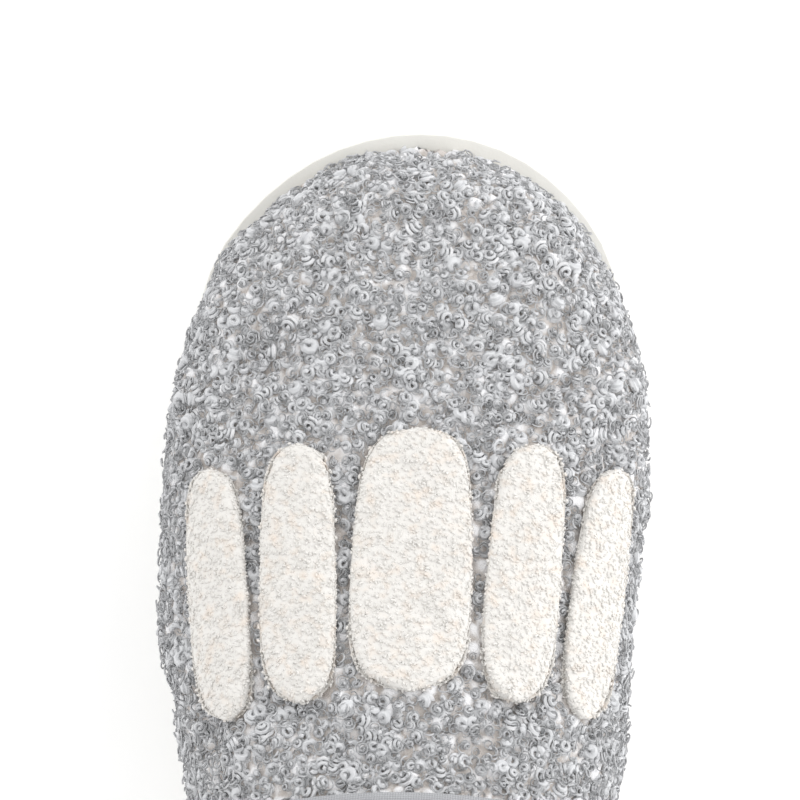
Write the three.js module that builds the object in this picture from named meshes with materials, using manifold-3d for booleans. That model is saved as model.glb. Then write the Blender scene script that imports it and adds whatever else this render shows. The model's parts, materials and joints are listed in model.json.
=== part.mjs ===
// A closed-toe, open-back plush spa slipper for the left foot, as the separate pieces it is sewn and cemented from.
// Millimetres, +Z up. The toe points to -Y, the outer side of the foot is +X, and the sole stands on z = 0.
import * as THREE from "three";
import Module from "manifold-3d";
import { mergeVertices } from "three/addons/utils/BufferGeometryUtils.js";

const wasm = await Module();
wasm.setup();

// ---- Overall sizes
const soleLength = 262;
const ballWidth = 102; // widest part of the sole, under the toe joints
const waistWidth = 90; // narrowest part of the sole, under the arch
const heelWidth = 76;
const toeSkew = 4; // how far the tip of the toe leans to the inner side
const archShift = 1.5; // how far the waist leans to the outer side
const heelFlare = 0.6; // how far each side stands out in front of the heel's round
const outerBallStation = 0.35; // places along the sole, as shares of its length from the toe
const innerBallStation = 0.29;
const waistStation = 0.58;
const heelStation = 0.78;

// ---- Sole
const forefootHeight = 20; // top of the midsole above the floor
const heelHeight = 27;
const heelRiseFrom = 0.4; // shares of the length between which the heel rises
const heelRiseTo = 0.72;
const toeSpring = 6; // lift of the sole's tip off the floor
const toeSpringRun = 52; // length over which the sole lifts
const treadThickness = 5;
const treadInset = 1.2; // the tread sits inside the midsole's edge
const grooveDepth = 1.8;
const grooveWidth = 2.4;
const groovePitch = 9;
const grooveRise = 9; // how far each chevron's point runs ahead of its ends
const grooveMargin = 9; // plain band left round the tread

// ---- Upper: three layers over an air space for the foot
const pileFabric = 4; // backing and curled pile together
const interliningFoam = 3;
const liningPlush = 2.4;
const toePuff = 1.2; // stiffener's thickness at the tip, skived thin to the rear
const toePuffEdge = 0.4;
const toeRim = 3.6; // bare ledge of sole in front of the upper
const sideRim = 1; // and beside it
const toeBoxHeight = 31; // crown of the upper above the midsole where the toe's round ends
const toeBoxRun = 38; // length of the toe's round
const instepRise = 35; // further rise of the crown from there to the throat
const vampLength = 151; // toe to throat, along the middle
const wingRun = 22; // how much further back the upper reaches at its rear ends, along the sole
const wingLength = vampLength + wingRun;
const sideBulge = 0.2; // share by which the sides stand out over the sole at the ball
const waistBulge = 0.28; // and at the throat
const bulgeRun = 92; // length over which that bulge grows from the toe
const sideRound = 0.66; // exponents of the arch: lower is squarer
const waistRound = 0.9;
const crownRound = 0.84;
const seamSqueeze = 0.6; // layers' share of their thickness where they are sewn down
const throatSqueeze = 0.55; // and inside the throat binding
const bindingThickness = 1.2;
const bindingClearance = 0.7;
const bindingLeg = 9; // width of tape on each side of the edge
const threadDiameter = 0.9;
const stitchSetback = 6.8; // the throat's stitching, in from its edge
const boundStrip = bindingLeg + 1.5; // stretch of the layers held flat inside the binding

// ---- Footbed
const boardThickness = 1.2;
const foamThickness = 6;
const coverThickness = 2.4;
const wrapThickness = 1.4; // fabric strip round the footbed's side
const pipingDiameter = 2.6;
const heelRim = 4; // bare ledge of sole round the footbed at the heel
const cushionThickness = 2.5; // softer pad let into the foam under the heel
const cushionLength = 62;
const cushionWidth = 46;

// ---- Petal motifs
const petalWidths = [15, 17, 27, 17, 15]; // from the inner side to the outer one
const petalGap = 2.5;
const petalShift = -2.5; // the whole row sits this far to the inner side
const petalLength = 57; // the middle one
const petalShortening = 1; // each one further out is shorter by this
const petalThickness = 1.6;
const petalSetback = 56; // throat to the middle of the central petal
const petalCentre = vampLength - petalSetback;
const petalSweep = 3; // the ones beside the middle sit this much nearer the heel
const petalLean = 3; // degrees by which each one further out leans outwards

// ---- Small trim
const tackLength = 5;
const tackWidth = 2.2;
const tackSetback = 3.5; // middle of the tack, in from the throat's edge
const tackPlace = 0.07; // share of the arch between each bar tack and the seam

const gap = 0.3; // clearance between neighbouring pieces
const layerGap = 0.6; // and between the upper's layers, before they are squeezed
const stations = 40; // cross-sections along the sole
const across = 20; // divisions over the arch of the upper
const along = 15; // divisions from toe to throat
const puffDivisions = 7; // of those, how many the toe puff spans
const bindingSteps = 32; // divisions of the tape round the throat

const { clamp, lerp, smoothstep } = THREE.MathUtils;
const layersDepth = pileFabric + interliningFoam + liningPlush + 2 * layerGap;

// ---- Making and cutting closed meshes

// Welds a mesh by position and drops the faces that a pinched end has flattened to nothing.
function welded(geometry) {
  geometry.deleteAttribute("normal");
  geometry.deleteAttribute("uv");
  const merged = mergeVertices(geometry, 1e-4);
  const kept = [];
  for (let i = 0; i < merged.index.count; i += 3) {
    const [a, b, c] = [0, 1, 2].map((k) => merged.index.getX(i + k));
    if (a !== b && b !== c && c !== a) kept.push(a, b, c);
  }
  return merged.setIndex(kept);
}

// A block divided in u, v and w, each from 0 to 1, and bent to the points that place gives.
function bentBlock(divisionsU, divisionsV, divisionsW, place) {
  const block = new THREE.BoxGeometry(1, 1, 1, divisionsU, divisionsV, divisionsW).translate(0.5, 0.5, 0.5);
  const position = block.getAttribute("position");
  for (let i = 0; i < position.count; i++) {
    const [u, v, w] = [position.getX(i), position.getY(i), position.getZ(i)].map((at) => clamp(at, 0, 1));
    const point = place(u, v, w);
    position.setXYZ(i, point.x, point.y, point.z);
  }
  return welded(block);
}

function solidOf(geometry) {
  return new wasm.Manifold(
    new wasm.Mesh({
      numProp: 3,
      vertProperties: geometry.getAttribute("position").array,
      triVerts: new Uint32Array(geometry.index.array),
    }),
  );
}

function geometryOf(solid) {
  const { vertProperties, triVerts } = solid.getMesh();
  return new THREE.BufferGeometry()
    .setAttribute("position", new THREE.BufferAttribute(vertProperties, 3))
    .setIndex(new THREE.BufferAttribute(triVerts, 1));
}

// A round tube along a curve through the points.
function tube(points, diameter, sides) {
  const path = new THREE.CatmullRomCurve3(points);
  const section = new THREE.Shape().absarc(0, 0, diameter / 2, 0, 2 * Math.PI);
  return welded(
    new THREE.ExtrudeGeometry(section, {
      steps: points.length,
      curveSegments: sides,
      extrudePath: path,
    }),
  );
}

// ---- Plan of the sole

// y of a point at a distance from the tip of the toe
const atDistance = (distance) => distance - soleLength / 2;
const distanceOf = (y) => y + soleLength / 2;

// The outline, from the toe's tip round the outer side to the heel and back up the inner side.
function soleOutline() {
  const toeRadius = ballWidth / 2 - 1;
  const heelRadius = heelWidth / 2;
  const onRound = (degrees, radius) => {
    const angle = THREE.MathUtils.degToRad(degrees);
    return [radius * Math.sin(angle), radius * (1 - Math.cos(angle)), Math.cos(angle)];
  };
  const toePoint = (degrees) => {
    const [x, back, lean] = onRound(degrees, toeRadius);
    return [x - 1 - (toeSkew - 1) * lean, back];
  };
  const heelPoint = (degrees) => {
    const [x, forward] = onRound(degrees, heelRadius);
    return [x, soleLength - forward];
  };
  const points = [
    ...[0, 25, 50, 72].map(toePoint),
    [ballWidth / 2, outerBallStation * soleLength],
    [waistWidth / 2 + archShift, waistStation * soleLength],
    [heelWidth / 2 + heelFlare, heelStation * soleLength],
    ...[65, 35, 0, -35, -65].map(heelPoint),
    [-heelWidth / 2 - heelFlare, heelStation * soleLength],
    [-waistWidth / 2 + archShift, waistStation * soleLength],
    [-ballWidth / 2, innerBallStation * soleLength],
    ...[-72, -50, -25].map(toePoint),
  ];
  const corners = points.map(([x, distance]) => new THREE.Vector3(x, atDistance(distance), 0));
  return new THREE.CatmullRomCurve3(corners, true, "centripetal").getPoints(360).slice(0, -1);
}

// The sole's two edges moved inwards: insetAt gives how far, at a distance from the toe.
// Each side is a list of points in order of y, and x(side, y) reads it.
function insetEdges(insetAt) {
  const outline = soleOutline();
  const moved = outline.map((point, i) => {
    const before = outline.at(i - 1);
    const after = outline[(i + 1) % outline.length];
    const direction = new THREE.Vector3().subVectors(after, before).normalize();
    const inwards = new THREE.Vector3(-direction.y, direction.x, 0);
    return point.clone().addScaledVector(inwards, insetAt(distanceOf(point.y)));
  });
  const byHeight = (a, b) => (moved[a].y < moved[b].y ? a : b);
  const toe = moved.reduce((best, _, i) => byHeight(best, i), 0);
  const heel = moved.reduce((best, _, i) => (byHeight(best, i) === best ? i : best), 0);
  const turned = [...moved.slice(toe), ...moved.slice(0, toe)];
  const split = (heel - toe + moved.length) % moved.length;
  const outer = turned.slice(0, split + 1);
  const inner = [turned[0], ...turned.slice(split).reverse()];
  const x = (side, y) => {
    const i = clamp(side.findIndex((point) => point.y >= y), 1, side.length - 1);
    const [from, to] = [side[i - 1], side[i]];
    return lerp(from.x, to.x, clamp((y - from.y) / Math.max(to.y - from.y, 1e-6), 0, 1));
  };
  return { outer, inner, x, toe: turned[0].y, heel: turned[split].y };
}

// ---- Levels of the sole along its length

const treadBottom = (y) => toeSpring * clamp(1 - distanceOf(y) / toeSpringRun, 0, 1) ** 2;
const above = (level, height) => (y) => level(y) + height;
const treadTop = above(treadBottom, treadThickness);
const heelRise = (y) => smoothstep(distanceOf(y), heelRiseFrom * soleLength, heelRiseTo * soleLength);
const midsoleTop = (y) => treadBottom(y) + lerp(forefootHeight, heelHeight, heelRise(y));

// A layer of the sole between two levels, inside two edges.
function slab(edges, bottomAt, topAt, columns = 1) {
  return bentBlock(columns, stations, 1, (u, v, w) => {
    const y = lerp(edges.toe, edges.heel, (1 - Math.cos(Math.PI * v)) / 2);
    const x = lerp(edges.x(edges.inner, y), edges.x(edges.outer, y), u);
    return new THREE.Vector3(x, y, lerp(bottomAt(y), topAt(y), w));
  });
}

// ---- Sole pieces

// A chevron groove across the tread, its point towards the toe, cut up from the floor.
function grooveCutter(y, halfWidth) {
  const chevron = new THREE.Shape([
    new THREE.Vector2(-halfWidth, grooveRise),
    new THREE.Vector2(0, 0),
    new THREE.Vector2(halfWidth, grooveRise),
    new THREE.Vector2(halfWidth, grooveRise + grooveWidth),
    new THREE.Vector2(0, grooveWidth),
    new THREE.Vector2(-halfWidth, grooveRise + grooveWidth),
  ]);
  const middle = y + (grooveRise + grooveWidth) / 2;
  const depth = 2 * grooveDepth;
  return new THREE.ExtrudeGeometry(chevron, { depth, bevelEnabled: false }).translate(
    0,
    y,
    treadBottom(middle) + grooveDepth - depth,
  );
}

function makeTread() {
  const edges = insetEdges(() => treadInset);
  let tread = solidOf(slab(edges, treadBottom, treadTop));
  const first = edges.toe + grooveMargin;
  const last = edges.heel - grooveMargin - grooveRise - grooveWidth;
  for (let y = first; y <= last; y += groovePitch) {
    const ends = [y, y + grooveRise + grooveWidth];
    const room = ends.flatMap((end) => [edges.x(edges.outer, end), -edges.x(edges.inner, end)]);
    const halfWidth = Math.min(...room) - grooveMargin;
    if (halfWidth > grooveMargin / 2) tread = tread.subtract(solidOf(welded(grooveCutter(y, halfWidth))));
  }
  return geometryOf(tread);
}

const makeMidsole = () => slab(insetEdges(() => 0), above(treadTop, gap), midsoleTop, 2);

// ---- Footbed pieces, stacked on the midsole

const upperEdges = insetEdges((distance) => lerp(toeRim, sideRim, smoothstep(distance, 8, 70)));

// The footbed fits inside the upper in front and runs out to the sole's rim behind it.
const footbedInset = (distance) => {
  const insideUpper = sideRim + seamSqueeze * layersDepth + bindingThickness + 2 * bindingClearance + gap;
  const inToe = insideUpper + layersDepth + toeRim;
  const front = lerp(inToe, insideUpper, smoothstep(distance, 0, 1.5 * toeBoxRun));
  return lerp(front, heelRim + pipingDiameter / 2, smoothstep(distance, wingLength + 2, wingLength + 50));
};
const boardBottom = above(midsoleTop, gap);
const boardTop = above(boardBottom, boardThickness);
const foamBottom = above(boardTop, gap);
const foamTop = above(foamBottom, foamThickness);
const coverBottom = above(foamTop, gap);
const coverTop = above(coverBottom, coverThickness);
const wrapEdges = insetEdges(footbedInset);
const stackEdges = insetEdges((distance) => footbedInset(distance) + wrapThickness + gap);

// The pad let into the foam's top under the heel, grown on all sides by a clearance.
function heelPad(clearance) {
  const middle = atDistance(soleLength - heelRim - heelWidth / 2);
  const outline = new THREE.Shape().absellipse(
    0,
    middle,
    cushionWidth / 2 + clearance,
    cushionLength / 2 + clearance,
    0,
    2 * Math.PI,
  );
  const depth = cushionThickness + 2 * clearance;
  const pad = new THREE.ExtrudeGeometry(outline, { depth, bevelEnabled: false, curveSegments: 28 });
  const position = pad.getAttribute("position");
  for (let i = 0; i < position.count; i++) {
    const bottom = foamTop(position.getY(i)) - cushionThickness - clearance;
    position.setZ(i, bottom + position.getZ(i));
  }
  return welded(pad);
}

function makeFoam() {
  const foam = solidOf(slab(stackEdges, foamBottom, foamTop, 2));
  return geometryOf(foam.subtract(solidOf(heelPad(gap))));
}

function makeWrap() {
  const insideEdges = insetEdges((distance) => footbedInset(distance) + wrapThickness);
  const outside = solidOf(slab(wrapEdges, boardBottom, coverTop));
  const inside = solidOf(slab(insideEdges, above(boardBottom, -1), above(coverTop, 1)));
  return geometryOf(outside.subtract(inside));
}

function makePiping() {
  const turns = 1.5 * stations;
  const points = [];
  const rise = pipingDiameter / 2 + gap;
  for (let i = 0; i < turns; i++) {
    const share = i / turns;
    const side = share < 0.5 ? wrapEdges.outer : wrapEdges.inner;
    const y = lerp(wrapEdges.toe, wrapEdges.heel, (1 - Math.cos(2 * Math.PI * share)) / 2);
    const inwards = (share < 0.5 ? -1 : 1) * wrapThickness * Math.min(1, 4 * Math.sin(2 * Math.PI * share) ** 2);
    points.push(new THREE.Vector3(wrapEdges.x(side, y) + inwards / 2, y, coverTop(y) + rise));
  }
  return ring(points, pipingDiameter, 7);
}

// A closed round ring through the points.
function ring(points, diameter, sides) {
  const centre = (i) => points[(i + points.length) % points.length];
  return bentRing(points.length, sides, (i, angle) => {
    const direction = new THREE.Vector3().subVectors(centre(i + 1), centre(i - 1)).normalize();
    const sideways = new THREE.Vector3(direction.y, -direction.x, 0).normalize();
    const upwards = new THREE.Vector3().crossVectors(sideways, direction);
    return centre(i)
      .clone()
      .addScaledVector(sideways, (diameter / 2) * Math.cos(angle))
      .addScaledVector(upwards, (diameter / 2) * Math.sin(angle));
  });
}

// A ring-shaped mesh bent from a torus: place takes the step round the ring and the angle round its section.
function bentRing(steps, sides, place) {
  const torus = new THREE.TorusGeometry(1, 0.2, sides, steps);
  const position = torus.getAttribute("position");
  for (let j = 0; j <= sides; j++) {
    for (let i = 0; i <= steps; i++) {
      const point = place(i % steps, ((j % sides) / sides) * 2 * Math.PI);
      position.setXYZ(j * (steps + 1) + i, point.x, point.y, point.z);
    }
  }
  return welded(torus);
}

// ---- The upper's surfaces: one under another, each at its depth below the outermost

const tipDistance = distanceOf(upperEdges.toe);
const throatAt = (u) => lerp(wingLength, vampLength, Math.sin(Math.PI * u) ** 1.3);

// 0 at the toe's tip, rising in a quarter round to 1 where the toe's round ends.
const roundAt = (distance) => Math.sqrt(1 - (1 - clamp((distance - tipDistance) / toeBoxRun, 0, 1)) ** 2);

function crownHeight(distance) {
  const rise = clamp((distance - tipDistance - 0.5 * toeBoxRun) / (vampLength - toeBoxRun), 0, 1.3);
  return toeBoxHeight * roundAt(distance) + instepRise * rise ** 1.25;
}

// Layers are thinner where they are sewn down to the sole and where the throat is bound.
function squeezedDepth(u, distance, depth) {
  const sewn = 1 - smoothstep(Math.min(u, 1 - u), 0, 0.15);
  const bound = 1 - clamp((throatAt(u) - distance - boundStrip) / boundStrip, 0, 1);
  const middle = layersDepth / 2;
  const sideways = depth * lerp(1, seamSqueeze, sewn);
  const squeeze = lerp(1, throatSqueeze, bound);
  return {
    sideways: lerp(sideways, middle * lerp(1, seamSqueeze, sewn), 1 - squeeze),
    down: lerp(depth, middle, 1 - squeeze),
  };
}

// The point over the arch at u, from 0 at the inner seam to 1 at the outer one, at a distance from the toe
// and at a depth. Round the toe, depth is taken off backwards; behind it, off the sides and the crown.
function upperPoint(u, distance, depth) {
  const inner = upperEdges.x(upperEdges.inner, atDistance(distance));
  const outer = upperEdges.x(upperEdges.outer, atDistance(distance));
  const angle = Math.PI * Math.min(u, 1 - u);
  const waisted = smoothstep(distance, outerBallStation * soleLength, vampLength);
  const bulge =
    lerp(sideBulge, waistBulge, waisted) * Math.sin((Math.PI / 2) * clamp(distance / bulgeRun, 0, 1));
  const spread = Math.cos(angle) ** lerp(sideRound, waistRound, waisted) * (1 + bulge * Math.sin(2 * angle) ** 0.9);
  const { sideways, down } = squeezedDepth(u, distance, depth);
  const round = roundAt(distance);
  const halfWidth = (outer - inner) / 2 - sideways * round;
  const height = crownHeight(distance) - down * round;
  const y = atDistance(distance + depth * seamSqueeze * (1 - round));
  return new THREE.Vector3(
    (outer + inner) / 2 + (u < 0.5 ? -1 : 1) * halfWidth * spread,
    y,
    midsoleTop(y) + gap + height * Math.sin(angle) ** crownRound,
  );
}

// The direction out of the surface at a depth.
function upperNormal(u, distance, depth = 0) {
  const step = 0.01;
  const overArch = new THREE.Vector3().subVectors(
    upperPoint(Math.min(u + step, 1), distance, depth),
    upperPoint(Math.max(u - step, 0), distance, depth),
  );
  const lengthwise = new THREE.Vector3().subVectors(
    upperPoint(u, distance + 0.3, depth),
    upperPoint(u, distance - 0.3, depth),
  );
  return overArch.cross(lengthwise).normalize();
}

// The station along the upper at v, from 0 at the toe's tip to 1 at the throat; the last one spans the binding.
function stationAt(u, v) {
  if (v > 1 - 0.5 / along) return throatAt(u);
  const share = Math.min((v * along) / (along - 1), 1);
  return lerp(tipDistance, throatAt(u) - boundStrip, 1 - Math.cos((Math.PI / 2) * share));
}

// A layer of the upper between two depths, which may change from toe to throat.
function upperLayer(outerDepthAt, innerDepthAt, divisions = along) {
  return bentBlock(across, divisions, 1, (u, v, w) => {
    const share = (v * divisions) / along;
    return upperPoint(u, stationAt(u, share), lerp(innerDepthAt(share), outerDepthAt(share), w));
  });
}

const interliningTop = pileFabric + layerGap;
const interliningBottom = interliningTop + interliningFoam;
const liningTop = interliningBottom + layerGap;
const puffEnd = puffDivisions / along;
const puffAt = (v) => lerp(toePuff, toePuffEdge, clamp(v / puffEnd, 0, 1));
const overPuff = (v) => (v <= puffEnd + 1e-6 ? interliningBottom - puffAt(v) - layerGap : interliningBottom);

const makeVampOuter = () => upperLayer(() => 0, () => pileFabric);
const makeInterlining = () => upperLayer(() => interliningTop, overPuff);
const makeToePuff = () =>
  upperLayer((v) => interliningBottom - puffAt(v), () => interliningBottom, puffDivisions);
const makeLining = () => upperLayer(() => liningTop, () => layersDepth);

// ---- Trim along the throat

// A frame on the throat's edge, in the middle of the layers: back points off the edge, out points up through
// them, and half is half their thickness.
function throatFrame(u) {
  const distance = throatAt(u);
  const origin = upperPoint(u, distance, layersDepth / 2);
  const back = new THREE.Vector3().subVectors(origin, upperPoint(u, distance - boundStrip, layersDepth / 2));
  back.normalize();
  const out = new THREE.Vector3().subVectors(upperPoint(u, distance, 0), origin);
  const half = out.length();
  return { origin, back, out: out.normalize(), half };
}

// The tape folded over the edge: a U section carried along the throat, standing on the midsole at both ends.
function makeThroatBinding() {
  return bentBlock(bindingSteps, 9, 1, (u, v, w) => {
    const { origin, back, out, half } = throatFrame(u);
    const reach = half + bindingClearance + w * bindingThickness;
    const end = bindingClearance + w * bindingThickness;
    const leg = [
      [reach, -bindingLeg],
      [reach, -bindingLeg / 2],
      [reach, 0],
      [reach, end],
      [reach / 3, end],
      [-reach / 3, end],
      [-reach, end],
      [-reach, 0],
      [-reach, -bindingLeg / 2],
      [-reach, -bindingLeg],
    ];
    const [outwards, backwards] = leg[Math.round(v * 9)];
    const point = origin.clone().addScaledVector(out, outwards).addScaledVector(back, backwards);
    if (u === 0 || u === 1) point.z = midsoleTop(point.y) + gap;
    return point;
  });
}

// Lockstitch thread laid on the tape.
function makeThroatStitch() {
  const points = [];
  for (let i = 1; i < bindingSteps; i++) {
    const u = i / bindingSteps;
    const { origin, back, out, half } = throatFrame(u);
    const height = half + bindingClearance + bindingThickness + gap + threadDiameter / 2;
    points.push(origin.clone().addScaledVector(out, height).addScaledVector(back, -stitchSetback));
  }
  return tube(points, threadDiameter, 5);
}

// A bar of dense stitching down the tape near one end of the throat.
function makeBarTack(place) {
  const halfLength = tackLength / 2;
  const arcPerPlace = throatFrame(place + 0.01).origin.distanceTo(throatFrame(place).origin) / 0.01;
  return bentBlock(1, 6, 1, (s, t, w) => {
    const u = place + ((s - 0.5) * tackWidth) / arcPerPlace;
    const { origin, back, out, half } = throatFrame(u);
    const rise = half + bindingClearance + bindingThickness + gap + w * threadDiameter;
    const backwards = lerp(-halfLength, halfLength, t) - tackSetback;
    return origin.clone().addScaledVector(out, rise).addScaledVector(back, backwards);
  });
}

// ---- Petal motifs on the vamp

// Half the petal's width at t, from -1 at its tip by the toe to 1 at its base.
const petalHalfWidth = (width, t) => (width / 2) * (1 - Math.abs(t) ** 2.6) ** 0.62 * (0.93 + 0.07 * t);

// The place over the arch, from 0 to 1, that lies a length of arc to the outer side of its crown.
function placeAtArc(distance, arc) {
  const step = Math.sign(arc) / 200;
  let place = 0.5;
  let left = Math.abs(arc);
  while (left > 0) {
    const length = upperPoint(place, distance, 0).distanceTo(upperPoint(place + step, distance, 0));
    place += step * Math.min(left / length, 1);
    left -= length;
  }
  return place;
}

function makePetal(index) {
  const middle = (petalWidths.length - 1) / 2;
  const place = index - middle;
  const between = petalWidths.slice(Math.min(index, middle), Math.max(index, middle) + 1);
  const run = between.reduce((sum, width) => sum + width + petalGap, -petalGap);
  const offset = petalShift + Math.sign(place) * (run - (petalWidths[index] + petalWidths[middle]) / 2);
  const centre = petalCentre + petalSweep * Math.abs(place) ** 1.4;
  const halfLength = (petalLength - petalShortening * Math.abs(place)) / 2;
  const lean = THREE.MathUtils.degToRad(petalLean * place);
  return bentBlock(6, 16, 1, (s, t, w) => {
    const lengthwise = (2 * t - 1) * halfLength;
    const sideways = (2 * s - 1) * petalHalfWidth(petalWidths[index], 2 * t - 1);
    const distance = centre + lengthwise * Math.cos(lean) + sideways * Math.sin(lean);
    const arc = offset + sideways * Math.cos(lean) - lengthwise * Math.sin(lean);
    const u = placeAtArc(distance, arc);
    const height = gap + w * petalThickness;
    return upperPoint(u, distance, 0).addScaledVector(upperNormal(u, distance), height);
  });
}

// ---- Assembly

const finishes = {
  pile: { color: 0xaeafb2, roughness: 0.95, metalness: 0 },
  cream: { color: 0xefe9e0, roughness: 0.9, metalness: 0 },
  white: { color: 0xf1f1ec, roughness: 0.6, metalness: 0 },
  foam: { color: 0xe6dfc8, roughness: 0.85, metalness: 0 },
  board: { color: 0xa88f6a, roughness: 0.9, metalness: 0 },
  tape: { color: 0x9a9ca0, roughness: 0.8, metalness: 0 },
};

const slipper = new THREE.Group();

function add(name, geometry, finish) {
  const mesh = new THREE.Mesh(geometry, new THREE.MeshStandardMaterial(finishes[finish]));
  mesh.name = name;
  slipper.add(mesh);
}

add("outsole_tread", makeTread(), "white");
add("midsole", makeMidsole(), "white");
add("insole_board", slab(stackEdges, boardBottom, boardTop), "board");
add("footbed_foam", makeFoam(), "foam");
add("heel_cushion", heelPad(0), "foam");
add("footbed_cover", slab(stackEdges, coverBottom, coverTop, 2), "cream");
add("footbed_wrap", makeWrap(), "tape");
add("footbed_piping", makePiping(), "tape");
add("vamp_outer", makeVampOuter(), "pile");
add("vamp_interlining", makeInterlining(), "foam");
add("vamp_lining", makeLining(), "cream");
add("toe_puff", makeToePuff(), "board");
add("throat_binding", makeThroatBinding(), "tape");
add("throat_stitch", makeThroatStitch(), "tape");
add("bar_tack_inner", makeBarTack(tackPlace), "tape");
add("bar_tack_outer", makeBarTack(1 - tackPlace), "tape");
petalWidths.forEach((_, index) => add(`petal_motif_${index + 1}`, makePetal(index), "cream"));

// The origin goes to the middle of the whole slipper's footprint, on the floor.
const bounds = new THREE.Box3().setFromObject(slipper);
const middle = bounds.getCenter(new THREE.Vector3());
slipper.position.set(-middle.x, -middle.y, -bounds.min.z);

export default slipper;
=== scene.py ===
# %% [markdown]
# # A plush spa slipper
#
# This script gives the looks to a slipper whose sizes are already fixed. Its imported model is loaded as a
# frame of plain solids, and each solid is either painted or replaced by a finished piece in the same place.
# Everything is in metres, with +Z up and the toe towards -Y.

import json
import math

import bmesh
import bpy
from mathutils import Matrix, Vector, noise

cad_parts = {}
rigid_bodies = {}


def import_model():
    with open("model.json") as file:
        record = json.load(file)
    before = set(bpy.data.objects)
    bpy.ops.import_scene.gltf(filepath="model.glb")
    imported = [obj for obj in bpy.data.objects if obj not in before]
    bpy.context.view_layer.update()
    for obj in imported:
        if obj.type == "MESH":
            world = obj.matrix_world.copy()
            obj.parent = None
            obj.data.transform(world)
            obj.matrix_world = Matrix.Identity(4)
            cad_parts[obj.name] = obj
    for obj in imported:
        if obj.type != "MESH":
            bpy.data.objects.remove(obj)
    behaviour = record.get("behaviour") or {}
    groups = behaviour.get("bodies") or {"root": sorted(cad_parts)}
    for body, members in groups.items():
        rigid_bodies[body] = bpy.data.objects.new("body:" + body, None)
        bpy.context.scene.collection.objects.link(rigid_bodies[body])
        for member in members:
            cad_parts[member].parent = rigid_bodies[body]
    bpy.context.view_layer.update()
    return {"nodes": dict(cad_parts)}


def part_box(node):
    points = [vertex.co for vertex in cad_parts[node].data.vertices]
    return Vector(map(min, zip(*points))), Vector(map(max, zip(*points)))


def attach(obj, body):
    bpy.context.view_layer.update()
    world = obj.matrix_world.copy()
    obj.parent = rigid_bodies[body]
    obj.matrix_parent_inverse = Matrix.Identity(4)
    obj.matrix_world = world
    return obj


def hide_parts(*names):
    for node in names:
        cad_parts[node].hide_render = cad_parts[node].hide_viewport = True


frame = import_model()
MM = 0.001

# %% [markdown]
# ## Writing node trees as Python
#
# A material or a scatter of curls is a graph of nodes. Two small classes keep the graph readable: Tree makes
# any node from its type, its settings and its inputs, and Flow wraps an output so that sums add Math nodes.

# %% Tree and Flow
class Flow:
    """A number flowing through a node tree. Arithmetic on it adds Math nodes."""

    def __init__(self, tree, socket):
        self.tree = tree
        self.socket = socket

    def _math(self, operation, *values):
        made = self.tree.node("ShaderNodeMath", {"operation": operation}, dict(enumerate(values)))
        return Flow(self.tree, made.outputs[0])

    def __add__(self, other):
        return self._math("ADD", self, other)

    def __sub__(self, other):
        return self._math("SUBTRACT", self, other)

    def __rsub__(self, other):
        return self._math("SUBTRACT", other, self)

    def __mul__(self, other):
        return self._math("MULTIPLY", self, other)

    def __truediv__(self, other):
        return self._math("DIVIDE", self, other)

    def __gt__(self, other):
        return self._math("GREATER_THAN", self, other)

    def __lt__(self, other):
        return self._math("LESS_THAN", self, other)

    def __mod__(self, other):
        return self._math("FLOORED_MODULO", self, other)

    def floor(self):
        return self._math("FLOOR", self)

    def sine(self):
        return self._math("SINE", self)

    __radd__ = __add__
    __rmul__ = __mul__


class Tree:
    """A node tree that makes nodes in one call."""

    def __init__(self, tree):
        self.tree = tree

    def node(self, kind, settings=None, inputs=None):
        made = self.tree.nodes.new(kind)
        for key, value in (settings or {}).items():
            setattr(made, key, value)
        for key, value in (inputs or {}).items():
            self.feed(made.inputs[key], value)
        return made

    def feed(self, socket, value):
        value = value.socket if isinstance(value, Flow) else value
        if isinstance(value, bpy.types.NodeSocket):
            self.tree.links.new(value, socket)
        else:
            socket.default_value = value

    def flow(self, kind, settings=None, inputs=None, output=0):
        return Flow(self, self.node(kind, settings, inputs).outputs[output])


print("node helpers ready")

# %% [markdown]
# ## Finishes
#
# Each finish is a Principled shader. What is the same all over a surface, such as sheen, is set on the
# shader, and what changes over it is built from noise in Object coordinates, so a pattern keeps its size.

# %% Helpers for finishes
def srgb(red, green, blue):
    """A colour given as a screen shows it, from 0 to 255, made linear."""
    linear = [((c / 255 + 0.055) / 1.055) ** 2.4 if c > 10 else c / 3294 for c in (red, green, blue)]
    return (*linear, 1)


def place(tree):
    return tree.node("ShaderNodeTexCoord").outputs["Object"]


def cloud(tree, size, detail=2.0, where=None):
    """Smooth noise from 0 to 1 whose lumps are about size across."""
    inputs = {"Vector": where or place(tree), "Scale": 1 / size, "Detail": detail}
    return tree.flow("ShaderNodeTexNoise", None, inputs)


def cells(tree, size, where=None):
    """Distance to the nearest of scattered points, from 0 at each point to about 1 between them."""
    inputs = {"Vector": where or place(tree), "Scale": 1 / size}
    return tree.flow("ShaderNodeTexVoronoi", None, inputs)


def mark(tree, name):
    """A number that the mesh carries, such as each curl's tone."""
    return tree.flow("ShaderNodeAttribute", {"attribute_name": name}, output="Fac")


def between(tree, mask, first, second):
    made = tree.node("ShaderNodeMix", {"data_type": "RGBA"}, {0: mask, 6: first, 7: second})
    return made.outputs[2]


def relief(tree, height, depth):
    """A bump whose full height is depth."""
    return tree.node("ShaderNodeBump", None, {"Height": height, "Distance": depth}).outputs["Normal"]


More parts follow.
